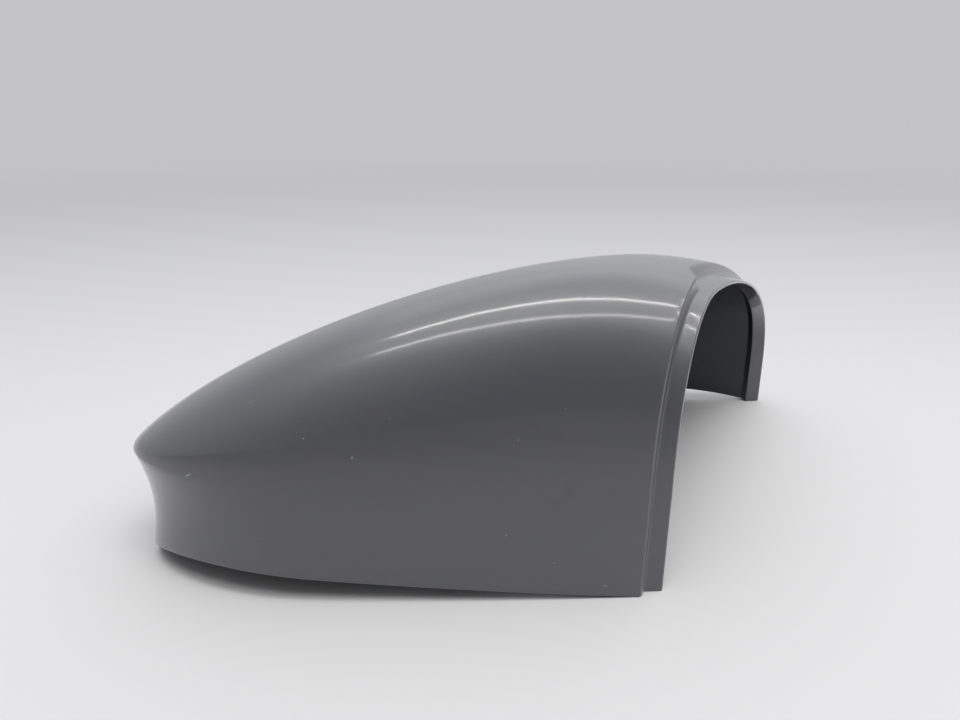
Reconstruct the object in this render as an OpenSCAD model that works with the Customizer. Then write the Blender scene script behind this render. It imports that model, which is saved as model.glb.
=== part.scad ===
// Cover of a wing mirror: one injection-moulded shell, lying on its open side.
// X runs from the outer end to the arm end, Y from the near wall to the far wall, Z up to the crown.
// The skin is a loft. A station t runs from 0 at the outer end to 1 at the step of the arch.
// Each station's section is two walls that rise from the rim to a shoulder, and an arch that joins them.

/* [Plan] */
// Length from the outer end to the arch, along the middle
shell_length = 166.5; // [150:1:185]
// Reach of the near wall from the middle of the outer end
near_reach = 32.5; // [30:0.1:42]
// Reach of the far wall from the middle of the outer end
far_reach = 115; // [104:0.1:124]
// Share of the length over which the near wall rounds into the outer end
near_run = 0.44; // [0.3:0.01:0.5]
// Share of the length over which the far wall rounds into the outer end
far_run = 0.79; // [0.6:0.01:0.9]
// Fullness of the near corner in plan, 2 for an ellipse
near_corner = 1.93; // [1.8:0.01:2.6]
// Fullness of the far corner in plan, 2 for an ellipse
far_corner = 2.43; // [1.8:0.01:2.6]
// How far the near wall bows out between the outer end and the arch
near_bow = 2.8; // [0:0.1:5]
// Slant of the outer end, as X for each unit of Y
end_slant = 0.505; // [0.35:0.005:0.55]
// Slant of the arch at the arm end, as X for each unit of Y
arch_slant = 0.555; // [0.45:0.005:0.65]

/* [Section] */
// Height of the crown above the table
crown_height = 90.8; // [82:0.1:100]
// Place of the crown along the length, as a share
crown_place = 0.84; // [0.7:0.01:0.9]
// How far the skin falls from the crown to the arch
crown_fall = 4.2; // [0:0.1:8]
// Height of the ridge at the outer end
ridge_height = 37; // [32:0.5:42]
// Height of the near shoulder at the arch
near_shoulder = 32.1; // [26:0.1:37]
// Height of the far shoulder at the arch
far_shoulder = 19.2; // [14:0.1:24]
// Where the crest lies at the arch, as a share of the way from the near wall to the far wall
crest_share = 0.21; // [0.15:0.01:0.4]
// Steepness of the skin where it leaves the ridge
end_rise = 1.66; // [1.5:0.01:2]
// Roundness of the long profile at the outer end
end_roundness = 0.84; // [0.8:0.01:1]

/* [Rim] */
// Rise of the near rim above the table, before its fall towards the arch is taken off
near_rise = 13.9; // [8:0.1:17]
// Rise of the far rim above the table
far_rise = 8.4; // [4:0.1:10]
// Depth of the hollow below the ridge
hollow_depth = 2.2; // [0:0.1:3]
// How far the rim is drawn in under the ridge at the outer end
rim_draw = 1.3; // [0:0.1:3]
// How far the rim spreads outwards along the walls
rim_spread = 0.9; // [0:0.1:3]

/* [Wall] */
// Thickness of the moulded wall
wall = 2.3; // [1.8:0.1:3]

/* [Arch] */
// Height of the step beside the table
step_low = 2.4; // [1.5:0.1:3]
// Height of the step at the crown
step_high = 4; // [3:0.1:5.5]
// Radius of the rolled edge beside the table
roll_low = 0.6; // [0.3:0.1:1]
// Radius of the rolled edge at the crown
roll_high = 1.1; // [0.8:0.1:2]
// Distance from the step to the head of the ramp that takes its place over the crown
ramp_run = 4.8; // [4:0.1:6]
// Distance from the step to the ramp's foot
ramp_foot = 2.8; // [2:0.1:3.5]
// Width of the flange beyond the step, beside the table
flange_low = 5.1; // [4:0.1:7]
// Width of the flange beyond the step, at the crown
flange_high = 4.4; // [3.5:0.1:6]
// Thickness of the flange where it leaves the step
flange_wall = 1.7; // [1.2:0.1:1.8]
// Thickness of the flange at its end
flange_tip = 1; // [0.8:0.1:1.6]
// Distance from the step's foot back to the end of the flange's inner face
inner_gap = 0.4; // [0.2:0.1:1]
// Run of the slope between the inner faces of the flange and the skin
inner_slope = 2.5; // [1.5:0.1:3.5]

/* [Inside] */
// Width of a snap hook
hook_width = 12; // [8:0.5:16]
// Reach of a snap hook from the wall
hook_reach = 9; // [6:0.5:12]
// Thickness of a snap hook's arm
hook_thickness = 2; // [1.5:0.1:3]
// Height of the barb on a snap hook's arm
hook_barb = 2.2; // [1:0.1:3]
// Radius of a locating peg
peg_radius = 2.5; // [2:0.1:3.5]
// Length of a locating peg below the skin
peg_length = 24; // [15:0.5:30]
// Radius of a peg's root where it meets the skin
root_radius = 4; // [4:0.1:4.6]
// Height of the taper between a peg and its root
root_height = 5; // [3:0.5:8]

/* [Hidden] */
near = -1;
far = 1;
// Fullness of the arch's section on each side and at the near side's step, 2 for an ellipse
near_arch = 1.98;
near_arch_end = 2.42;
far_arch = 1.5;
// Station at which the near side starts to fill out towards the step
arch_change = 0.34;
// Power that lifts the skin off its shoulder: 0.5 or less leaves the wall without a crease
ridge_power = 0.67;
near_power = 0.46;
far_power = 0.45;
// Shares of the length over which the ridge and the hollow wall fade out
crease_run = 0.32;
hollow_run = 0.5;
// Power by which the rims rise from the outer end, and powers by which they fall to the arch
rise_power = 1.2;
near_fall = 1;
far_fall = 6;
// The ramp starts just short of the crest and dies away down the far side: places of both, as turns
// past the crest, and the turns each takes
ramp_start = -0.07;
ramp_start_way = 0.12;
ramp_end = 0.2;
ramp_end_way = 0.6;
// Stations along the skin, and points round each rolled edge, half arch and wall
skin_rows = 40;
roll_rows = 5;
arch_columns = 18;
wall_columns = 5;
last_column = 2 * (wall_columns + arch_columns);
// How far a hook and a peg are sunk into the wall
sink = 0.9;
peg_sink = 0.6;
// Places of the snap hooks, as side, station and share of the way down the wall
hook_places = [[near, 0.3, 0.7], [near, 0.55, 0.65], [near, 0.8, 0.55], [far, 0.28, 0], [far, 0.5, 0]];
// Places of the locating pegs, as stations on the crest
peg_places = [0.58, 0.82];

function mix(from, to, share) = from + (to - from) * share;
function ease(share) = let (s = min(max(share, 0), 1)) s * s * (3 - 2 * s);

// Share of its full reach that a wall has at a station
function fullness(t, run, corner) = pow(1 - pow(1 - min(t / run, 1), corner), 1 / corner);

// How far the near wall stands out at a station beyond its plain reach
function bow(t) = near_bow * 4 * t * (1 - t);

// Y of a wall at a station, drawn in by an inset
function wall_y(side, t, inset) =
    side == near
        ? -(near_reach + bow(t) - inset) * fullness(t, near_run, near_corner)
        : (far_reach - inset) * fullness(t, far_run, far_corner);

// Y of the crest, which drifts from the middle of the outer end to its place at the arch without the bow
function crest_y(t, inset) =
    let (
        start = near_reach / (near_reach + far_reach),
        share = mix(start, crest_share, min(t, 1))
    )
    mix(wall_y(near, t, inset + bow(t)), wall_y(far, t, inset), share);

// X of a point at a station: stations slant more and more towards the arch
function skin_x(t, y, inset) =
    inset * (1 - t) + shell_length * t + mix(end_slant, arch_slant, t) * y;

// Height of the crest at a station
function crest_z(t, inset) =
    let (
        rise = min(t / crown_place, 1),
        fall = max(t - crown_place, 0) / (1 - crown_place),
        arc = pow(1 - pow(1 - rise, end_rise), end_roundness)
    )
    mix(ridge_height, crown_height - inset, arc) - crown_fall * fall * fall;

// Height of the shoulder, where a wall ends and the arch begins
function shoulder_z(side, t) =
    side == near
        ? mix(ridge_height, near_shoulder, ease(t))
        : mix(ridge_height, far_shoulder, ease(t));

// Height of the rim: the cover stands on its outer end and on both feet of the arch
function rim_z(side, t) =
    side == near
        ? near_rise * pow(fullness(t, near_run, near_corner), rise_power) * (1 - pow(min(t, 1), near_fall))
        : far_rise * pow(fullness(t, far_run, far_corner), rise_power) * (1 - pow(min(t, 1), far_fall));

// How far the wall lies inside its shoulder: hollow at the outer end, spread along the sides
function tuck(t, down) =
    let (along = ease(t / hollow_run))
    (hollow_depth * sin(180 * down) + rim_draw * down * down) * (1 - along) - rim_spread * down * along;

// Point on a wall: down runs from 0 at the shoulder to 1 at the rim
function wall_point(side, t, down, inset) =
    let (
        drawn = inset + tuck(t, down),
        y = wall_y(side, t, drawn)
    )
    [skin_x(t, y, drawn), y, mix(shoulder_z(side, t), rim_z(side, t), down)];

// Point on the arch: turn runs from 0 at the shoulder to 1 at the crest
function arch_point(side, t, turn, inset) =
    let (
        fade = ease(t / crease_run),
        widening = ease((t - arch_change) / (1 - arch_change)),
        arch = side == near ? mix(near_arch, near_arch_end, widening) : far_arch,
        corner = mix(side == near ? near_corner : far_corner, arch, fade),
        power = mix(ridge_power, side == near ? near_power : far_power, fade),
        out = pow(cos(90 * turn), 2 / corner),
        up = pow(sin(90 * turn), 2 * power),
        y = mix(crest_y(t, inset), wall_y(side, t, inset), out)
    )
    [skin_x(t, y, inset), y, mix(shoulder_z(side, t), crest_z(t, inset), up)];

// Columns run from the near rim over the crest to the far rim
function column_side(j) = j <= last_column / 2 ? near : far;
function column_rank(j) = j <= last_column / 2 ? j : last_column - j;
function column_down(j) = max(wall_columns - column_rank(j), 0) / wall_columns;
function column_turn(j) = max(column_rank(j) - wall_columns, 0) / arch_columns;

function skin_point(j, t, inset) =
    column_rank(j) < wall_columns
        ? wall_point(column_side(j), t, column_down(j), inset)
        : arch_point(column_side(j), t, column_turn(j), inset);

// Stations lie closer together at the outer end, where the plan turns
function station(i) = let (s = i / skin_rows) s * s * (1.6 - 0.6 * s);

// Share of the ramp in a column: none along the walls, all of it over the crown
function ramp_share(j) =
    let (past = column_side(j) * (1 - column_turn(j)))
    ease((past - ramp_start) / ramp_start_way) * (1 - ease((past - ramp_end) / ramp_end_way));

// One column as a path: out along the skin, down the rolled edge or the ramp, along the flange, back inside
function column_path(j) =
    let (
        lift = sin(90 * column_turn(j)),
        ramp = ramp_share(j),
        roll = mix(roll_low, roll_high, lift),
        step = mix(step_low, step_high, lift),
        edge_start = 1 - mix(roll, ramp_run, ramp) / shell_length,
        foot = 1 - ramp_foot * ramp / shell_length,
        inner_start = foot - inner_gap / shell_length,
        inner_step = inner_start - inner_slope / shell_length,
        flange_end = 1 + mix(flange_low, flange_high, lift) / shell_length
    )
    [
        for (i = [0:skin_rows]) skin_point(j, station(i) * edge_start, 0),
        for (i = [1:roll_rows])
            let (
                share = i / roll_rows,
                round_back = roll * (1 - sin(90 * share)),
                round_drop = roll * (1 - cos(90 * share)),
                back = mix(round_back, mix(ramp_run, ramp_foot, share), ramp),
                drop = mix(round_drop, step * share, ramp)
            )
            skin_point(j, 1 - back / shell_length, drop),
        skin_point(j, foot, step),
        skin_point(j, flange_end, step),
        skin_point(j, flange_end, step + flange_tip),
        skin_point(j, inner_start, step + flange_wall),
        for (i = [skin_rows:-1:0]) skin_point(j, station(i) * inner_step, wall)
    ];

// Rows of a path, by name
step_foot = skin_rows + roll_rows + 1;
flange_outer = step_foot + 1;
flange_inner = step_foot + 2;
inner_foot = step_foot + 3;
inner_top = step_foot + 4;
last_row = inner_top + skin_rows;

// At the outer end the columns close up: the arch to one tip, and the far wall onto the near one
function shared_column(i, j) = (i == 0 || i == last_row) ? min(column_rank(j), wall_columns) : j;
function at(i, j) = shared_column(i, j) * (last_row + 1) + i;
function is_whole(face) = face[0] != face[1] && face[1] != face[2] && face[2] != face[0];

function skin_faces() = [
    for (j = [0:last_column - 1])
        for (i = [0:last_row - 1])
            for (face = [[at(i, j), at(i, j + 1), at(i + 1, j + 1)], [at(i, j), at(i + 1, j + 1), at(i + 1, j)]])
                if (is_whole(face)) face
];

// Faces of the rim along one edge column, seen from below
function rim_faces(j) = [
    for (i = [0:skin_rows - 1])
        for (face = [
            [at(i, j), at(i + 1, j), at(last_row - i - 1, j)],
            [at(i, j), at(last_row - i - 1, j), at(last_row - i, j)]
        ]) face,
    for (i = [skin_rows:step_foot - 1]) [at(i, j), at(i + 1, j), at(inner_top, j)],
    [at(step_foot, j), at(inner_foot, j), at(inner_top, j)],
    [at(step_foot, j), at(flange_outer, j), at(flange_inner, j)],
    [at(step_foot, j), at(flange_inner, j), at(inner_foot, j)]
];

function turned(faces) = [for (face = faces) [face[0], face[2], face[1]]];

skin_points = [for (j = [0:last_column]) for (point = column_path(j)) point];
all_faces = concat(skin_faces(), rim_faces(0), turned(rim_faces(last_column)));

// Middle of the cover's outline, which is set over the origin
function middle(axis) =
    let (values = [for (point = skin_points) point[axis]])
    (min(values) + max(values)) / 2;
plan_middle = [middle(0), middle(1), 0];

// The moulded wall, with the rolled edge, step and flange of the arch
module shell() {
    polyhedron(points = skin_points, faces = all_faces, convexity = 6);
}

// Arm with a barb, and a web below it, standing inwards from the wall
module snap_hook(side, t, down) {
    place = wall_point(side, t, down, wall);
    ahead = wall_point(side, t + 0.01, down, wall);
    heading = atan2(ahead[1] - place[1], ahead[0] - place[0]);
    translate(place)
        rotate([0, 0, heading])
            mirror([0, side == near ? 0 : 1, 0]) {
                translate([-hook_width / 2, 0, 0])
                    rotate([90, 0, 90])
                        linear_extrude(height = hook_width)
                            hook_outline();
                translate([-hook_thickness / 2, 0, 0])
                    rotate([90, 0, 90])
                        linear_extrude(height = hook_thickness)
                            web_outline();
            }
}

// Side view of the arm: Y away from the wall, Z up
module hook_outline() {
    barb_foot = hook_reach - hook_barb;
    polygon([
        [-sink, 0],
        [hook_reach - hook_thickness / 2, 0],
        [hook_reach, hook_thickness / 2],
        [barb_foot + hook_thickness / 4, hook_thickness + hook_barb],
        [barb_foot, hook_thickness + hook_barb],
        [barb_foot, hook_thickness],
        [-sink, hook_thickness]
    ]);
}

// Side view of the web under the arm
module web_outline() {
    web_drop = hook_reach / 2;
    polygon([[-sink, -web_drop], [0, -web_drop], [hook_reach * 0.6, 0.1], [-sink, 0.1]]);
}

// Round peg with a tapered root, hanging from the crest
module locating_peg(t) {
    place = arch_point(near, t, 1, wall);
    translate([place[0], place[1], place[2] + peg_sink - peg_length])
        cylinder(h = peg_length, r = peg_radius, $fn = 48);
    translate([place[0], place[1], place[2] + peg_sink - root_height])
        cylinder(h = root_height, r1 = peg_radius, r2 = root_radius, $fn = 48);
}

module cover() {
    color("#7d8083")
        translate(-plan_middle) {
            union() {
                shell();
                for (place = hook_places) snap_hook(place[0], place[1], place[2]);
                for (t = peg_places) locating_peg(t);
            }
        }
}

cover();
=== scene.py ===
import math

import bpy
import numpy as np
from mathutils import Matrix, Vector


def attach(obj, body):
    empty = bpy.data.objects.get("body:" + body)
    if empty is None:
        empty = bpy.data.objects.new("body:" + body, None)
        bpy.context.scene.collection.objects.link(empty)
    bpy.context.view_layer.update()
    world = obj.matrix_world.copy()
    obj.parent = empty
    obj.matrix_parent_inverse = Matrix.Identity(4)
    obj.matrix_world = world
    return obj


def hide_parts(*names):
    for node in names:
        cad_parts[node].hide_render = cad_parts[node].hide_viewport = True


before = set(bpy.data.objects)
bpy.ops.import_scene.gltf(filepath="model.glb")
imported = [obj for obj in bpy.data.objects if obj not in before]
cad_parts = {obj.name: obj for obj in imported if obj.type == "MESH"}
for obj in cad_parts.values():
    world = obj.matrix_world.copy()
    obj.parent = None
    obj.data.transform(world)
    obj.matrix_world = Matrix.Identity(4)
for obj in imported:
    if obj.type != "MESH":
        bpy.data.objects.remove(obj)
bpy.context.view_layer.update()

# ---------------------------------------------------------------- camera
# A phone held low in front of the cover, square to its near wall and tipped a little down. Its lens is
# given by its length in pixels of the photograph.

SENSOR_WIDTH, PHOTO_WIDTH, LENS_PIXELS = 36, 960, 720.73
CAMERA_PLACE, CAMERA_TIP = (-0.014382, -0.2446265, 0.13152), 19.276

camera_data = bpy.data.cameras.new("camera")
camera_data.sensor_width = SENSOR_WIDTH
camera_data.lens = SENSOR_WIDTH * LENS_PIXELS / PHOTO_WIDTH
camera_data.clip_start = 0.01
camera = bpy.data.objects.new("camera", camera_data)
camera.location = CAMERA_PLACE
camera.rotation_euler = (math.radians(90 - CAMERA_TIP), 0, 0)
bpy.context.scene.collection.objects.link(camera)
bpy.context.scene.camera = camera

# ---------------------------------------------------------------- shell
# The cover is one injection moulding: a domed skin with a rolled edge, a step and a flange round the
# arch where it meets the mirror's arm. Its wall is 2.3 mm thick and its open side is a plain rim.

# plan: length, reach of the walls, how soon and how fully they round into the outer end, and slants
SHELL_LENGTH, NEAR_REACH, FAR_REACH = 166.5, 32.5, 115
NEAR_RUN, FAR_RUN, NEAR_BOW = 0.44, 0.79, 2.8
NEAR_CORNER, FAR_CORNER = 1.93, 2.43
END_SLANT, ARCH_SLANT = 0.505, 0.555
# long profile: the crown, the ridge at the outer end, the shoulders at the arch, and the crest's place
CROWN_HEIGHT, CROWN_PLACE, CROWN_FALL = 90.8, 0.84, 4.2
END_RISE, END_ROUNDNESS = 1.66, 0.84
RIDGE_HEIGHT, NEAR_SHOULDER, FAR_SHOULDER, CREST_SHARE = 37, 32.1, 19.2, 0.21
# cross sections: fullness of the arch on each side, and the powers that lift the skin off its shoulders
NEAR_ARCH, NEAR_ARCH_END, FAR_ARCH, ARCH_CHANGE = 1.98, 2.42, 1.5, 0.34
RIDGE_POWER, NEAR_POWER, FAR_POWER, CREASE_RUN = 0.67, 0.46, 0.45, 0.32
# rim: its rise above the table on each side, and the hollow and spread of the walls over it
NEAR_RISE, FAR_RISE, RISE_POWER, NEAR_FALL, FAR_FALL = 13.9, 8.4, 1.2, 1, 6
HOLLOW_DEPTH, HOLLOW_RUN, RIM_DRAW, RIM_SPREAD = 2.2, 0.5, 1.3, 0.9
# wall, step and rolled edge, beside the table and at the crown
WALL, EDGE_RADIUS = 2.3, 0.35
STEP_LOW, STEP_HIGH, STEP_FILLET, FILLET_CUT = 2.4, 4, 0.25, 0.32
ROLL_LOW, ROLL_HIGH = 0.6, 0.55
# ramp in place of the step over the crown: its head, foot, lip and sag, and where it starts and ends
RAMP_RUN, RAMP_FOOT, RAMP_LIP, RAMP_SAG = 4.8, 2.8, 0.3, 0.25
RAMP_START, RAMP_START_WAY, RAMP_END, RAMP_END_WAY = -0.07, 0.12, 0.2, 0.6
# flange beyond the step, and its inner face
FLANGE_LOW, FLANGE_HIGH, FLANGE_WALL, FLANGE_TIP = 5.1, 4.4, 1.7, 1
INNER_GAP, INNER_SLOPE, SKIN_GAP = 0.4, 2.5, 2
# the mesh: rows along the cover, which stand closer at the outer end, and columns across it
SKIN_ROWS, ROLL_ROWS, ROW_CROWDING = 130, 10, 0.6
ARCH_COLUMNS, WALL_COLUMNS, RIM_COLUMNS = 60, 14, 5
FLANGE_INNER_ROWS = 10
MERGE_DISTANCE = 0.000004


def mix(start, end, share):
    """The value a share of the way from start to end."""
    return start + (end - start) * share


def ease(share):
    """A share with soft ends."""
    share = np.clip(share, 0, 1)
    return share * share * (3 - 2 * share)


def fullness(t, run, corner):
    """Share of its full reach that a wall has at a station."""
    return (1 - (1 - np.minimum(t / run, 1)) ** corner) ** (1 / corner)


def bow(t):
    """How far the near wall bows out at a station."""
    return NEAR_BOW * 4 * t * (1 - t)


def wall_y(near, t, inset):
    """Y of a wall's shoulder, with the surface moved in by inset."""
    return np.where(
        near,
        -(NEAR_REACH + bow(t) - inset) * fullness(t, NEAR_RUN, NEAR_CORNER),
        (FAR_REACH - inset) * fullness(t, FAR_RUN, FAR_CORNER),
    )


def crest_y(t, inset):
    """Y of the crest, the line of highest points between the two walls."""
    start = NEAR_REACH / (NEAR_REACH + FAR_REACH)
    share = mix(start, CREST_SHARE, np.minimum(t, 1))
    return mix(wall_y(True, t, inset + bow(t)), wall_y(False, t, inset), share)


def skin_x(t, y, inset):
    """X at a station: the stations lean, more so towards the arch."""
    return inset * (1 - t) + SHELL_LENGTH * t + mix(END_SLANT, ARCH_SLANT, t) * y


def crest_z(t, inset):
    """Height of the crest, which rises to the crown and falls a little to the arch."""
    rise = np.minimum(t / CROWN_PLACE, 1)
    fall = np.maximum(t - CROWN_PLACE, 0) / (1 - CROWN_PLACE)
    arc = (1 - (1 - rise) ** END_RISE) ** END_ROUNDNESS
    return mix(RIDGE_HEIGHT, CROWN_HEIGHT - inset, arc) - CROWN_FALL * fall * fall


def shoulder_z(near, t):
    """Height at which a wall passes into the arch of the section."""
    return mix(RIDGE_HEIGHT, np.where(near, NEAR_SHOULDER, FAR_SHOULDER), ease(t))


def rim_z(near, t):
    """Height of the rim above the table, which it touches at the outer end and at the arch."""
    near_lift = NEAR_RISE * fullness(t, NEAR_RUN, NEAR_CORNER) ** RISE_POWER
    far_lift = FAR_RISE * fullness(t, FAR_RUN, FAR_CORNER) ** RISE_POWER
    along = np.minimum(t, 1)
    return np.where(near, near_lift * (1 - along ** NEAR_FALL), far_lift * (1 - along ** FAR_FALL))


def wall_point(near, t, down, inset):
    """Point on a wall: down runs from 0 at the shoulder to 1 at the rim."""
    along = ease(t / HOLLOW_RUN)
    hollow = HOLLOW_DEPTH * np.sin(np.pi * down) + RIM_DRAW * down * down
    drawn = inset + hollow * (1 - along) - RIM_SPREAD * down * along
    y = wall_y(near, t, drawn)
    z = mix(shoulder_z(near, t), rim_z(near, t) + EDGE_RADIUS, down)
    return np.stack([skin_x(t, y, drawn), y, z], -1)


def arch_point(near, t, turn, inset):
    """Point on the arch: turn runs from 0 at the shoulder to 1 at the crest."""
    fade = ease(t / CREASE_RUN)
    widening = ease((t - ARCH_CHANGE) / (1 - ARCH_CHANGE))
    arch = np.where(near, mix(NEAR_ARCH, NEAR_ARCH_END, widening), FAR_ARCH)
    corner = mix(np.where(near, NEAR_CORNER, FAR_CORNER), arch, fade)
    power = mix(RIDGE_POWER, np.where(near, NEAR_POWER, FAR_POWER), fade)
    out = np.clip(np.cos(np.pi / 2 * turn), 0, 1) ** (2 / corner)
    up = np.sin(np.pi / 2 * turn) ** (2 * power)
    y = mix(crest_y(t, inset), wall_y(near, t, inset), out)
    z = mix(shoulder_z(near, t), crest_z(t, inset), up)
    return np.stack([skin_x(t, y, inset), y, z], -1)


def shell_path(near, turn, down):
    """Rows of one column: along the skin, down the step, along the flange, and back inside."""
    lift = math.sin(math.pi / 2 * turn)
    past = (-1 if near else 1) * (1 - turn)
    ramp = ease((past - RAMP_START) / RAMP_START_WAY) * (1 - ease((past - RAMP_END) / RAMP_END_WAY))
    roll = mix(ROLL_LOW, ROLL_HIGH, lift)
    step = mix(STEP_LOW, STEP_HIGH, lift)
    flange = mix(FLANGE_LOW, FLANGE_HIGH, lift)
    foot = RAMP_FOOT * ramp
    head = mix(roll, RAMP_RUN, ramp)
    s = np.linspace(0, 1, SKIN_ROWS + 1)
    station = s * s * (1 + ROW_CROWDING - ROW_CROWDING * s)
    share = np.linspace(0, 1, ROLL_ROWS + 1)[1:]
    quarter = np.pi / 2 * share
    slope_back = mix(RAMP_RUN, RAMP_FOOT, share)
    slope_drop = (step - RAMP_LIP) * (share - RAMP_SAG * np.sin(np.pi * share) * (1 - share))
    edge_back = mix(roll * (1 - np.sin(quarter)), slope_back, ramp)
    edge_drop = mix(roll * (1 - np.cos(quarter)), slope_drop, ramp)
    round_x = EDGE_RADIUS * np.sin(np.linspace(0, np.pi / 2, 5))
    round_in = EDGE_RADIUS * (1 - np.cos(np.linspace(0, np.pi / 2, 5)))
    flange_x = flange - EDGE_RADIUS
    # places along X from the step, and insets, from the outer end to the middle of the flange's end
    outer = [(SHELL_LENGTH * (t * (1 - head / SHELL_LENGTH) - 1), 0.0) for t in station]
    outer += list(zip(-edge_back, edge_drop))
    fillet_end, cut = -foot + STEP_FILLET, STEP_FILLET * FILLET_CUT
    outer += [(-foot, step - STEP_FILLET), (-foot + cut, step - cut)]
    outer += [(fillet_end, step)] + [(mix(fillet_end, flange_x, q), step) for q in (0.15, 0.5, 0.9)]
    outer += [(flange_x + x, step + y) for x, y in zip(round_x, round_in)]
    outer += [(flange, step + FLANGE_TIP / 2)]
    count = len(outer) - 1
    inner_x = flange_x + round_x[::-1]
    inner = [(x, step + FLANGE_TIP - y) for x, y in zip(inner_x, round_in[::-1])]
    face_end, slope_end = -foot - INNER_GAP, -foot - INNER_GAP - INNER_SLOPE
    inner += [(mix(flange_x, face_end, q), step + mix(FLANGE_TIP, FLANGE_WALL, q)) for q in (0.1, 0.5, 0.94, 1)]
    inner += [(mix(face_end, slope_end, q), mix(step + FLANGE_WALL, WALL, q)) for q in (0.08, 0.5, 0.92, 1)]
    near_step = count - len(inner) - len(station) + 1
    skin_end = head + WALL + SKIN_GAP
    inner += [(mix(slope_end, -skin_end, q), WALL) for q in np.linspace(0, 1, near_step + 1)[1:]]
    inner += [(SHELL_LENGTH * (t * (1 - skin_end / SHELL_LENGTH) - 1), WALL) for t in station[::-1][1:]]
    path = np.array(outer + inner)
    t = 1 + path[:, 0] / SHELL_LENGTH
    if down > 0:
        return wall_point(near, t, down, path[:, 1])
    return arch_point(near, t, turn, path[:, 1])


# columns from the near rim over the crest to the far rim, with the rim's rounded edge beyond each wall
wall_downs = np.linspace(1, 0, WALL_COLUMNS + 1)[:-1]
arch_turns = np.linspace(0, 1, ARCH_COLUMNS + 1)
near_columns = [(True, 0.0, d) for d in wall_downs] + [(True, a, 0.0) for a in arch_turns]
far_columns = [(False, a, 0.0) for a in arch_turns[:-1][::-1]] + [(False, 0.0, d) for d in wall_downs[::-1]]
paths = [shell_path(*column) for column in near_columns + far_columns]


def rim_columns(wall_path):
    """The rim's rounded edge: each row bends in from the wall to the middle of the wall's thickness."""
    mirrored = wall_path[::-1]
    across = mirrored - wall_path
    thickness = np.maximum(np.linalg.norm(across, axis=1, keepdims=True), 1e-6)
    radius = np.minimum(EDGE_RADIUS, thickness / 2)
    found = []
    for turn in np.linspace(0, math.pi / 2, RIM_COLUMNS)[1:]:
        moved = wall_path + across / thickness * radius * (1 - math.cos(turn))
        moved[:, 2:] -= EDGE_RADIUS * math.sin(turn)
        found.append(moved)
    found.append((wall_path + mirrored) / 2 - (0, 0, EDGE_RADIUS))
    return found


near_rim, far_rim = rim_columns(paths[0]), rim_columns(paths[-1])
paths = np.array(near_rim[::-1] + paths + far_rim)
column_count, row_count = paths.shape[:2]

bpy.ops.object.select_all(action="DESELECT")
bpy.ops.mesh.primitive_grid_add(x_subdivisions=row_count - 1, y_subdivisions=column_count - 1, size=1)
shell = bpy.context.object
shell.name = shell.data.name = "shell"
middle_x = (paths[..., 0].min() + paths[..., 0].max()) / 2
middle_y = (paths[..., 1].min() + paths[..., 1].max()) / 2
shell.data.vertices.foreach_set("co", ((paths - (middle_x, middle_y, 0)) / 1000).ravel())
# the first half of each column's faces is glossy, as the flange's inner face is, and the rest is matt
face_rows = np.tile(np.arange(row_count - 1), column_count - 1)
matt_faces = face_rows >= row_count // 2 + FLANGE_INNER_ROWS
shell.data.polygons.foreach_set("material_index", matt_faces.astype(np.int32))
bpy.ops.object.mode_set(mode="EDIT")
bpy.ops.mesh.select_all(action="SELECT")
bpy.ops.mesh.remove_doubles(threshold=MERGE_DISTANCE)
bpy.ops.mesh.normals_make_consistent(inside=False)
bpy.ops.object.mode_set(mode="OBJECT")
bpy.ops.object.shade_smooth()

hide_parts("cover")
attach(shell, "root")

# ---------------------------------------------------------------- snap hooks
# Five hooks moulded with the shell, three on the near wall and two on the far one. Each is a springy
# arm with a barb on its end and a web under it, and it grips the edge of the mirror's housing.

HOOK_WIDTH, HOOK_REACH, HOOK_THICKNESS, HOOK_BARB, HOOK_SINK = 12, 9, 2, 2.2, 0.9
NOSE_BACK, NOSE_UP, BARB_CHAMFER, ROOT_RUN, ROOT_RISE = 0.25, 0.3, 0.35, 0.5, 0.6
WEB_SHARE, WEB_FOOT, HOOK_ROUNDING = 0.6, 0.1, 0.00022
# of each hook: near wall or not, its station, and its place down the wall from the shoulder to the rim
HOOK_PLACES = [(True, 0.3, 0.7), (True, 0.55, 0.65), (True, 0.8, 0.55), (False, 0.28, 0), (False, 0.5, 0)]

barb_foot = HOOK_REACH - HOOK_BARB
web_reach, web_drop = HOOK_REACH * WEB_SHARE, HOOK_REACH / 2
# side view of the arm: distance from the wall, then height
hook_outline = [
    (-HOOK_SINK, 0), (web_reach, 0), (HOOK_REACH - HOOK_THICKNESS / 2, 0),
    (HOOK_REACH - NOSE_BACK, NOSE_UP), (HOOK_REACH, HOOK_THICKNESS / 2),
    (barb_foot + HOOK_THICKNESS / 4, HOOK_THICKNESS + HOOK_BARB), (barb_foot, HOOK_THICKNESS + HOOK_BARB),
    (barb_foot, HOOK_THICKNESS + BARB_CHAMFER), (barb_foot - BARB_CHAMFER, HOOK_THICKNESS),
    (ROOT_RUN, HOOK_THICKNESS), (-HOOK_SINK, HOOK_THICKNESS + ROOT_RISE),
]
bpy.ops.object.select_all(action="DESELECT")
bpy.ops.mesh.primitive_circle_add(vertices=len(hook_outline), radius=1, fill_type="NGON")
hook = bpy.context.object
hook.name = hook.data.name = "snap_hook_1"
for vertex, (away, up) in zip(hook.data.vertices, hook_outline):
    vertex.co = (-HOOK_WIDTH / 2, away, up)
bpy.ops.object.mode_set(mode="EDIT")
bpy.ops.mesh.select_all(action="SELECT")
for width in ((HOOK_WIDTH - HOOK_THICKNESS) / 2, HOOK_THICKNESS, (HOOK_WIDTH - HOOK_THICKNESS) / 2):
    bpy.ops.mesh.extrude_region_move(TRANSFORM_OT_translate={"value": (width, 0, 0)})
bpy.ops.mesh.select_all(action="SELECT")
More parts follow.
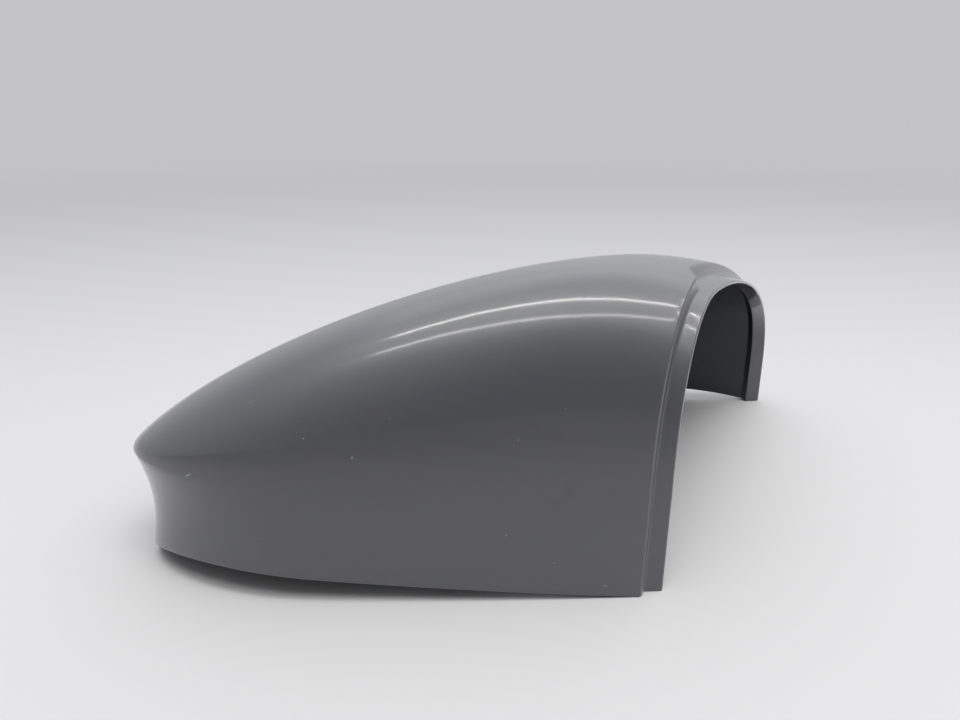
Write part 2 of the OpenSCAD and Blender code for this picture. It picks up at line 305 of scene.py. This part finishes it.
bpy.ops.mesh.normals_make_consistent(inside=False)
bpy.ops.mesh.select_all(action="DESELECT")
bpy.ops.object.mode_set(mode="OBJECT")
for face in hook.data.polygons:
    face.select = face.normal.z < -0.9 and abs(face.center.x) < 0.1 and face.center.y < web_reach
bpy.ops.object.mode_set(mode="EDIT")
bpy.ops.mesh.extrude_region_move(TRANSFORM_OT_translate={"value": (0, 0, -web_drop)})
bpy.ops.object.mode_set(mode="OBJECT")
for vertex in hook.data.vertices:
    if vertex.co.z < -0.9 * web_drop and vertex.co.y > 0:
        vertex.co.y = WEB_FOOT
bpy.ops.object.mode_set(mode="EDIT")
bpy.ops.mesh.select_all(action="SELECT")
bpy.ops.mesh.normals_make_consistent(inside=False)
bpy.ops.transform.resize(value=(0.001, 0.001, 0.001), center_override=(0, 0, 0))
bpy.ops.object.mode_set(mode="OBJECT")
rounding = hook.modifiers.new("rounded edges", "BEVEL")
rounding.width, rounding.segments, rounding.limit_method = HOOK_ROUNDING, 2, "ANGLE"
bpy.ops.object.modifier_apply(modifier="rounded edges")
bpy.ops.object.shade_smooth_by_angle(angle=math.radians(40))

hooks = [hook]
for number in range(2, len(HOOK_PLACES) + 1):
    twin = bpy.data.objects.new(f"snap_hook_{number}", hook.data.copy())
    bpy.context.scene.collection.objects.link(twin)
    hooks.append(twin)
for piece, (near, t, down) in zip(hooks, HOOK_PLACES):
    foot = wall_point(near, t, down, WALL)
    ahead = wall_point(near, t + 0.01, down, WALL)
    heading = math.atan2(ahead[1] - foot[1], ahead[0] - foot[0]) + (0 if near else math.pi)
    place = Vector((foot[0] - middle_x, foot[1] - middle_y, foot[2])) / 1000
    piece.data.transform(Matrix.Translation(place) @ Matrix.Rotation(heading, 4, "Z"))
    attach(piece, "root")

# ---------------------------------------------------------------- locating pegs
# Two round pegs moulded under the crest of the dome. They drop into holes in the mirror's housing,
# so they hang straight down, with a tapered root and a rounded end.

PEG_RADIUS, PEG_LENGTH, PEG_SINK, ROOT_RADIUS, ROOT_HEIGHT = 2.5, 24, 0.6, 4, 5
PEG_PLACES = [0.58, 0.82]

bpy.ops.object.select_all(action="DESELECT")
bpy.ops.mesh.primitive_circle_add(vertices=40, radius=ROOT_RADIUS / 1000, fill_type="NGON")
peg = bpy.context.object
peg.name = peg.data.name = "locating_peg_1"
bpy.ops.object.mode_set(mode="EDIT")
bpy.ops.mesh.select_all(action="SELECT")
# rings down the peg: distance of each below its top, and its radius
ring_radius = ROOT_RADIUS
peg_rings = [
    (0.9, 3.55), (2, 3.08), (3.4, 2.72), (ROOT_HEIGHT, PEG_RADIUS), (PEG_LENGTH - 1.2, PEG_RADIUS - 0.1),
    (PEG_LENGTH - 0.55, 2.15), (PEG_LENGTH - 0.15, 1.6), (PEG_LENGTH, 0.9),
]
height = 0
for drop, radius in peg_rings:
    bpy.ops.mesh.extrude_region_move(TRANSFORM_OT_translate={"value": (0, 0, (height - drop) / 1000)})
    size = radius / ring_radius
    bpy.ops.transform.resize(value=(size, size, 1), center_override=(0, 0, 0))
    height, ring_radius = drop, radius
bpy.ops.mesh.select_all(action="SELECT")
bpy.ops.mesh.normals_make_consistent(inside=False)
bpy.ops.object.mode_set(mode="OBJECT")
bpy.ops.object.shade_smooth_by_angle(angle=math.radians(50))

second_peg = bpy.data.objects.new("locating_peg_2", peg.data.copy())
bpy.context.scene.collection.objects.link(second_peg)
pegs = [peg, second_peg]
for piece, t in zip(pegs, PEG_PLACES):
    foot = arch_point(True, t, 1, WALL)
    place = Vector((foot[0] - middle_x, foot[1] - middle_y, foot[2] + PEG_SINK)) / 1000
    piece.data.transform(Matrix.Translation(place))
    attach(piece, "root")

# ---------------------------------------------------------------- outside plastic
# The outside is mid-grey plastic, glossy as it left the polished mould, with a very faint ripple and
# flow. Handling has left a few ticks and specks, one short scratch and one smudge on the near wall.

GREY, SCUFFED_GREY = (0.044, 0.0448, 0.0518), (0.42, 0.43, 0.45, 1)
COAT_ROUGHNESS = 0.11
SPECKS_PER_METRE, SPECK_CORE, SPECK_EDGE, SPECK_AMOUNT, EMPTY_CELLS = 140, 0.02, 0.038, 0.3, 0.6
MARK_DEPTH, MARK_CORE = 12, 0.35
RIPPLE_HEIGHT = 0.0000025

gloss = bpy.data.materials.new("glossy grey plastic")
gloss.use_nodes = True
gloss_shader = gloss.node_tree.nodes["Principled BSDF"]
gloss_shader.inputs["Coat Weight"].default_value = 1
gloss_shader.inputs["Coat Roughness"].default_value = COAT_ROUGHNESS


def add_node(owner, kind, inputs=(), **settings):
    """A node with its settings made and its inputs filled with numbers or linked to other nodes."""
    node = owner.node_tree.nodes.new("ShaderNode" + kind)
    for name, value in settings.items():
        setattr(node, name, value)
    for name, value in dict(inputs).items():
        if isinstance(value, bpy.types.NodeSocket):
            owner.node_tree.links.new(value, node.inputs[name])
        else:
            node.inputs[name].default_value = value
    return node


def feed(owner, name, source):
    """Link a result to the shader of a material."""
    owner.node_tree.links.new(source, owner.node_tree.nodes["Principled BSDF"].inputs[name])


def calculate(owner, operation, *values):
    """One sum on numbers and other nodes' results."""
    return add_node(owner, "Math", dict(enumerate(values)), operation=operation).outputs[0]


def combine(owner, operation, first, second):
    """One sum on two places or colours."""
    return add_node(owner, "VectorMath", {0: first, 1: second}, operation=operation).outputs[0]


def shaded(owner, colour, *shades):
    """A colour made lighter and darker by each of the shades in turn."""
    for shade in shades:
        node = add_node(owner, "VectorMath", {0: colour, "Scale": shade}, operation="SCALE")
        colour = node.outputs[0]
    return colour


def plastic_noise(material, stretch, scale, detail, low, high):
    """Noise on the piece's own coordinates, brought to the range from low to high."""
    place = add_node(material, "TexCoord").outputs["Object"]
    stretched = add_node(material, "Mapping", {"Vector": place, "Scale": stretch}).outputs[0]
    noise = add_node(material, "TexNoise", {"Vector": stretched, "Scale": scale, "Detail": detail})
    spread = {"Value": noise.outputs[0], "From Min": 0.3, "From Max": 0.7, "To Min": low, "To Max": high}
    return add_node(material, "MapRange", spread).outputs[0]


flow = plastic_noise(gloss, (9, 30, 30), 1, 3, 0.95, 1.05)
grain = plastic_noise(gloss, (1, 1, 1), 1700, 1, 0.965, 1.035)
outside_colour = shaded(gloss, GREY, flow, grain)

# specks: the few cells of a 7 mm pattern whose middle falls on the skin
skin_place = add_node(gloss, "TexCoord").outputs["Object"]
cells = add_node(gloss, "TexVoronoi", {"Vector": skin_place, "Scale": SPECKS_PER_METRE})
speck_range = {"Value": cells.outputs["Distance"], "From Min": SPECK_CORE, "From Max": SPECK_EDGE}
speck = add_node(gloss, "MapRange", {**speck_range, "To Min": SPECK_AMOUNT, "To Max": 0}).outputs[0]
chosen = calculate(gloss, "GREATER_THAN", cells.outputs["Color"], EMPTY_CELLS)
specks = calculate(gloss, "MULTIPLY", speck, chosen)


def mark(middle, size, tilt, amount):
    """How strongly a small mark on the near wall shows: an ellipse with soft edges, sizes in mm."""
    away = combine(gloss, "SUBTRACT", skin_place, [c / 1000 for c in middle])
    turn = {"Vector": away, "Angle": math.radians(tilt)}
    turned = add_node(gloss, "VectorRotate", turn, rotation_type="Y_AXIS").outputs[0]
    ellipse = combine(gloss, "MULTIPLY", turned, (1000 / size[0], 1000 / MARK_DEPTH, 1000 / size[1]))
    reach = add_node(gloss, "VectorMath", {0: ellipse}, operation="LENGTH").outputs["Value"]
    edge = {"Value": reach, "From Min": MARK_CORE, "From Max": 1, "To Min": amount, "To Max": 0}
    return add_node(gloss, "MapRange", edge, interpolation_type="SMOOTHSTEP").outputs[0]


def strongest(marks):
    """Marks laid over each other, the strongest on top."""
    shown = marks[0]
    for another in marks[1:]:
        shown = calculate(gloss, "MAXIMUM", shown, another)
    return shown


light_marks = strongest([
    specks,
    # a tick beside the outer end, a dot, and four faint rubs
    mark((-93.9, -69.6, 37.1), (1.35, 0.2), 28, 0.6),
    mark((-48.0, -74.5, 44.8), (0.22, 0.55), -12, 0.45),
    mark((-75.4, -67.2, 57.6), (0.45, 0.25), 20, 0.12),
    mark((-37.8, -72.5, 55.3), (0.5, 0.22), 10, 0.1),
    mark((20.9, -73.8, 4.3), (0.9, 0.35), -8, 0.16),
    mark((6.2, -74.4, 12.3), (1.0, 0.4), 5, 0.09),
])
dark_marks = strongest([
    # the scratch, then the smudge's two halves
    mark((-74.2, -74.3, 19.3), (4.6, 0.3), 7, 0.16),
    mark((9.6, -73.7, 34.2), (2.4, 3.4), 25, 0.14),
    mark((6.0, -73.7, 31.0), (2.2, 1.6), 0, 0.1),
])
soiled_colour = shaded(gloss, outside_colour, calculate(gloss, "SUBTRACT", 1, dark_marks))
scuffing = {"Factor": light_marks, "A": soiled_colour, "B": SCUFFED_GREY}
feed(gloss, "Base Color", add_node(gloss, "Mix", scuffing, data_type="RGBA").outputs["Result"])

handled = plastic_noise(gloss, (1, 1, 1), 24, 4, 0.29, 0.36)
feed(gloss, "Roughness", calculate(gloss, "ADD", handled, light_marks))
ripple = plastic_noise(gloss, (1, 1, 1), 260, 2, 0, 1)
waves = {"Height": ripple, "Strength": 0.5, "Distance": RIPPLE_HEIGHT}
feed(gloss, "Normal", add_node(gloss, "Bump", waves).outputs[0])

# ---------------------------------------------------------------- inside plastic
# The same plastic where it lay against the mould's inner block: less glossy and finely textured. Its
# colour is much darker than the outside's, which is painted shade for the shade inside the shell. The
# inside of the shell, the hooks and the pegs have it.

# painted shade: this colour is far darker and bluer than the outside's GREY, standing in for the shade inside
SHADED_INNER_GREY = (0.0085, 0.0105, 0.0175)
TEXTURE_HEIGHT = 0.00006

matt = bpy.data.materials.new("matt inner plastic")
matt.use_nodes = True
inner_flow = plastic_noise(matt, (12, 30, 30), 1, 3, 0.85, 1.15)
feed(matt, "Base Color", shaded(matt, SHADED_INNER_GREY, inner_flow))
feed(matt, "Roughness", plastic_noise(matt, (1, 1, 1), 60, 3, 0.36, 0.45))
texture = plastic_noise(matt, (1, 1, 1), 1300, 2, 0, 1)
sparks = {"Height": texture, "Strength": 0.4, "Distance": TEXTURE_HEIGHT}
feed(matt, "Normal", add_node(matt, "Bump", sparks).outputs[0])

shell.data.materials.append(gloss)
shell.data.materials.append(matt)
for piece in [*hooks, *pegs]:
    piece.data.materials.append(matt)

# ---------------------------------------------------------------- table
# A plain white table top. Its colour has a painted pool of light: lighter near the cover and a little
# darker away from it. In the cover's reflections its front part has painted shade. Far off it turns into
# the even backdrop behind it.

TABLE_RADIUS = 6
NEAR_WHITE, FAR_WHITE, BACKDROP = (0.352, 0.35, 0.353, 1), (0.294, 0.292, 0.296, 1), (0.548, 0.542, 0.572, 1)
TABLE_ROUGHNESS = 0.7
WHITE_REACH, REACH_SHARES = 0.3, (0.5, 1, 0)
SHADE_LEVEL, SHADE_DEEPEST_Y, SHADE_EDGE_Y = 0.42, -0.32, -0.11
BACKDROP_FROM, BACKDROP_TO = 0.45, 1.9

bpy.ops.object.select_all(action="DESELECT")
bpy.ops.mesh.primitive_circle_add(vertices=96, radius=TABLE_RADIUS, fill_type="NGON", location=(0, 0, 0))
table = bpy.context.object
table.name = "table"
paper = bpy.data.materials.new("white paper")
paper.use_nodes = True
paper_shader = paper.node_tree.nodes["Principled BSDF"]
paper_shader.inputs["Roughness"].default_value = TABLE_ROUGHNESS


def eased(owner, value, low, high):
    """A share that goes softly from 0 to 1 while the value goes from low to high."""
    ends = {"Value": value, "From Min": low, "From Max": high}
    return add_node(owner, "MapRange", ends, interpolation_type="SMOOTHSTEP").outputs[0]


table_place = add_node(paper, "TexCoord").outputs["Object"]
squeezed = combine(paper, "MULTIPLY", table_place, REACH_SHARES)
reach = add_node(paper, "VectorMath", {0: squeezed, 1: squeezed}, operation="DOT_PRODUCT").outputs["Value"]
# painted light: the table's colour is lighter near the cover and darker away from it, a painted pool of light
painted_light_falloff = calculate(paper, "DIVIDE", reach, calculate(paper, "ADD", reach, WHITE_REACH ** 2))
whites = {"Factor": painted_light_falloff, "A": NEAR_WHITE, "B": FAR_WHITE}
white = add_node(paper, "Mix", whites, data_type="RGBA").outputs["Result"]
# painted shade: the front of the table is darker in reflections and bounced light, not as the camera sees it
front = add_node(paper, "SeparateXYZ", {0: table_place}).outputs["Y"]
shade = {"Value": front, "From Min": SHADE_DEEPEST_Y, "From Max": SHADE_EDGE_Y, "To Min": SHADE_LEVEL}
front_shade = add_node(paper, "MapRange", shade).outputs[0]
seen = add_node(paper, "LightPath").outputs["Is Camera Ray"]
feed(paper, "Base Color", shaded(paper, white, calculate(paper, "MAXIMUM", seen, front_shade)))

distance = add_node(paper, "VectorMath", {0: table_place}, operation="LENGTH").outputs["Value"]
far_seen = calculate(paper, "MULTIPLY", eased(paper, distance, BACKDROP_FROM, BACKDROP_TO), seen)
glow = add_node(paper, "Emission", {"Color": BACKDROP}).outputs[0]
faded = add_node(paper, "MixShader", {0: far_seen, 1: paper_shader.outputs["BSDF"], 2: glow}).outputs[0]
paper.node_tree.links.new(faded, paper.node_tree.nodes["Material Output"].inputs["Surface"])
table.data.materials.append(paper)

# ---------------------------------------------------------------- room
# A pale room round the table. Its front wall is dark low down, its ceiling is bright over the cover,
# and a thin dark seam runs between two of the ceiling's panels, just behind the cover.

ROOM_STRENGTH, ROOM_TINT = 2.5, (0.978, 0.99, 1.02)
TOP_LEVEL, CEILING_LEVEL = 3, 2.28
CORNER_WAY = (-0.64, -0.77)
FRONT_EDGE_SLANT = 0.25
SEAM_Y, SEAM_HALF_WIDTH, SEAM_DEPTH = 0.24, 0.045, 0.12
FRONT_PANELS_Y, FRONT_PANELS_DEPTH = (0.2, 0.27), 0.075

room = bpy.data.worlds.new("room")
room.use_nodes = True
direction = add_node(room, "TexCoord").outputs["Generated"]
ways = add_node(room, "SeparateXYZ", {0: direction}).outputs
along_x, along_y, up = ways["X"], ways["Y"], ways["Z"]


def light_curve(source, points):
    """Light levels that change with one number: points are its places and the levels there."""
    node = add_node(room, "ValToRGB", {0: source})
    node.color_ramp.interpolation = "B_SPLINE"
    stops = node.color_ramp.elements
    while len(stops) < len(points):
        stops.new(1)
    for stop, (at, level) in zip(stops, points):
        stop.position = at
        stop.color = (level / TOP_LEVEL, level / TOP_LEVEL, level / TOP_LEVEL, 1)
    return node.outputs["Color"]


def rest_of(share):
    """What a share leaves of 1."""
    return calculate(room, "SUBTRACT", 1, share)


# the four walls: level against height, each weighted by how squarely it is faced
up_squared = calculate(room, "MULTIPLY", up, up)
flat_squared = calculate(room, "MAXIMUM", rest_of(up_squared), 0.0001)
front_levels = [
    (0, 0.02), (0.28, 0.05), (0.41, 0.17), (0.53, 0.35), (0.64, 0.62), (0.73, 0.95), (0.8, 1.3), (0.9, 1.7),
    (1, 2.2),
]
back_levels = [
    (0, 0.63), (0.12, 0.66), (0.28, 0.92), (0.41, 1.1), (0.53, 1.35), (0.64, 1.58), (0.73, 1.9), (0.87, 2.2),
    (1, 2.2),
]
left_levels = [
    (0, 0.68), (0.28, 0.82), (0.41, 0.9), (0.53, 1.0), (0.7, 1.07), (0.8, 1.2), (0.87, 1.5), (1, 2.2),
]
right_levels = [(0, 0.66), (0.12, 0.66), (0.3, 0.7), (0.5, 1.4), (0.64, 2.1), (0.8, 2.2), (1, 2.2)]
corner_levels = [(0, 0.36), (0.3, 0.34), (0.55, 0.2), (0.8, 0)]

wall_parts = []
for axis, sign, levels in (
    (along_y, -1, front_levels), (along_y, 1, back_levels),
    (along_x, -1, left_levels), (along_x, 1, right_levels),
):
    faced = calculate(room, "MAXIMUM", calculate(room, "MULTIPLY", axis, sign), 0)
    share = calculate(room, "DIVIDE", calculate(room, "MULTIPLY", faced, faced), flat_squared)
    wall_parts.append(shaded(room, light_curve(up, levels), share))
# a paler corner between the front and left walls
corner_parts = [calculate(room, "MULTIPLY", axis, way) for axis, way in zip((along_x, along_y), CORNER_WAY)]
corner = calculate(room, "MAXIMUM", calculate(room, "ADD", *corner_parts), 0)
corner_faced = calculate(room, "DIVIDE", calculate(room, "MULTIPLY", corner, corner), flat_squared)
corner_share = calculate(room, "POWER", corner_faced, 2)
wall_parts.append(shaded(room, light_curve(up, corner_levels), corner_share))
light = wall_parts[0]
for part in wall_parts[1:]:
    light = combine(room, "ADD", light, part)

# the bright part of the ceiling, by its place on the ceiling as seen from the cover
height = calculate(room, "MAXIMUM", up, 0.05)
ceiling_x, ceiling_y = (calculate(room, "DIVIDE", way, height) for way in (along_x, along_y))
slanted_y = calculate(room, "ADD", ceiling_y, calculate(room, "MULTIPLY", ceiling_x, FRONT_EDGE_SLANT))
bright = eased(room, ceiling_x, -0.6, -0.48)
for edge in (
    eased(room, slanted_y, -0.95, -0.5),
    rest_of(eased(room, ceiling_y, 0.4, 1.2)),
    rest_of(eased(room, ceiling_x, 1.2, 2.5)),
):
    bright = calculate(room, "MULTIPLY", bright, edge)
ceiling_colour = (CEILING_LEVEL / TOP_LEVEL,) * 3 + (1,)
ceiling = {"Factor": bright, "A": light, "B": ceiling_colour}
light = add_node(room, "Mix", ceiling, data_type="RGBA").outputs["Result"]

# the seam, and the panels in front of it, which are a little darker
from_seam = calculate(room, "ABSOLUTE", calculate(room, "SUBTRACT", ceiling_y, SEAM_Y))
over_cover = rest_of(eased(room, calculate(room, "ABSOLUTE", ceiling_x), 0.7, 1.1))
seam = calculate(room, "MULTIPLY", rest_of(eased(room, from_seam, 0, SEAM_HALF_WIDTH)), over_cover)
front_panels = rest_of(eased(room, ceiling_y, *FRONT_PANELS_Y))
dimmed = [
    calculate(room, "MULTIPLY", share, depth)
    for share, depth in ((seam, SEAM_DEPTH), (front_panels, FRONT_PANELS_DEPTH))
]
light = shaded(room, light, rest_of(calculate(room, "ADD", *dimmed)))
light = combine(room, "MULTIPLY", light, ROOM_TINT)

# beyond the table the even backdrop hides the room, which shows only in reflections
backdrop_colour = tuple(level / ROOM_STRENGTH for level in BACKDROP[:3]) + (1,)
behind = {"Factor": add_node(room, "LightPath").outputs["Is Camera Ray"], "A": light, "B": backdrop_colour}
shown = add_node(room, "Mix", behind, data_type="RGBA").outputs["Result"]
background = room.node_tree.nodes["Background"]
room.node_tree.links.new(shown, background.inputs["Color"])
background.inputs["Strength"].default_value = ROOM_STRENGTH
bpy.context.scene.world = room
bpy.context.scene.view_settings.view_transform = "Standard"

# ---------------------------------------------------------------- lamps
# Two rows of long ceiling lamps, each with a shorter one beyond its end, draw the two bright lines on
# the cover. A soft box above the front edge lights the table and keeps out of the reflections.

LAMP_HEIGHT, LAMP_WIDTH, END_LAMP_WIDTH, LAMP_COLOUR = 1.5, 0.05, 0.04, (1, 0.975, 0.93)
FIRST_ROW = [(-0.67, -0.232), (-0.36, -0.245), (0.35, -0.455), (0.75, -0.465), (1.12, -0.38)]
SECOND_ROW = [(-0.72, -0.69), (-0.45, -0.72), (0.3, -1.01), (0.8, -1.02), (1.25, -0.89)]
FIRST_END, SECOND_END = [(1.18, -0.045), (1.6, -0.325)], [(1.18, -0.585), (1.6, -0.77)]
SOFT_BOX_SIZE, SOFT_BOX_PLACE, SOFT_BOX_POWER = (0.9, 0.6), (0.12, -0.48, 1.35), 17


def lamp_row(name, points, width, radiance):
    """A row of long lamps, end to end over points of the table, facing straight down."""
    for start, end in zip(points, points[1:]):
        length = math.dist(start, end)
        data = bpy.data.lights.new(name, "AREA")
        data.shape = "RECTANGLE"
        data.size, data.size_y = length, width
        data.energy = radiance * math.pi * length * width
        data.color = LAMP_COLOUR
        lamp = bpy.data.objects.new(name, data)
        lamp.location = ((start[0] + end[0]) / 2, (start[1] + end[1]) / 2, LAMP_HEIGHT)
        lamp.rotation_euler = (0, 0, math.atan2(end[1] - start[1], end[0] - start[0]))
        bpy.context.scene.collection.objects.link(lamp)


lamp_row("first row", FIRST_ROW, LAMP_WIDTH, 21)
lamp_row("second row", SECOND_ROW, LAMP_WIDTH, 14)
lamp_row("end of first row", FIRST_END, END_LAMP_WIDTH, 27)
lamp_row("end of second row", SECOND_END, END_LAMP_WIDTH, 21)

soft_box_data = bpy.data.lights.new("soft box", "AREA")
soft_box_data.shape = "RECTANGLE"
soft_box_data.size, soft_box_data.size_y = SOFT_BOX_SIZE
soft_box_data.energy = SOFT_BOX_POWER
soft_box = bpy.data.objects.new("soft box", soft_box_data)
soft_box.location = SOFT_BOX_PLACE
soft_box.rotation_euler = Vector(SOFT_BOX_PLACE).to_track_quat("Z", "Y").to_euler()
soft_box.visible_glossy = False
bpy.context.scene.collection.objects.link(soft_box)
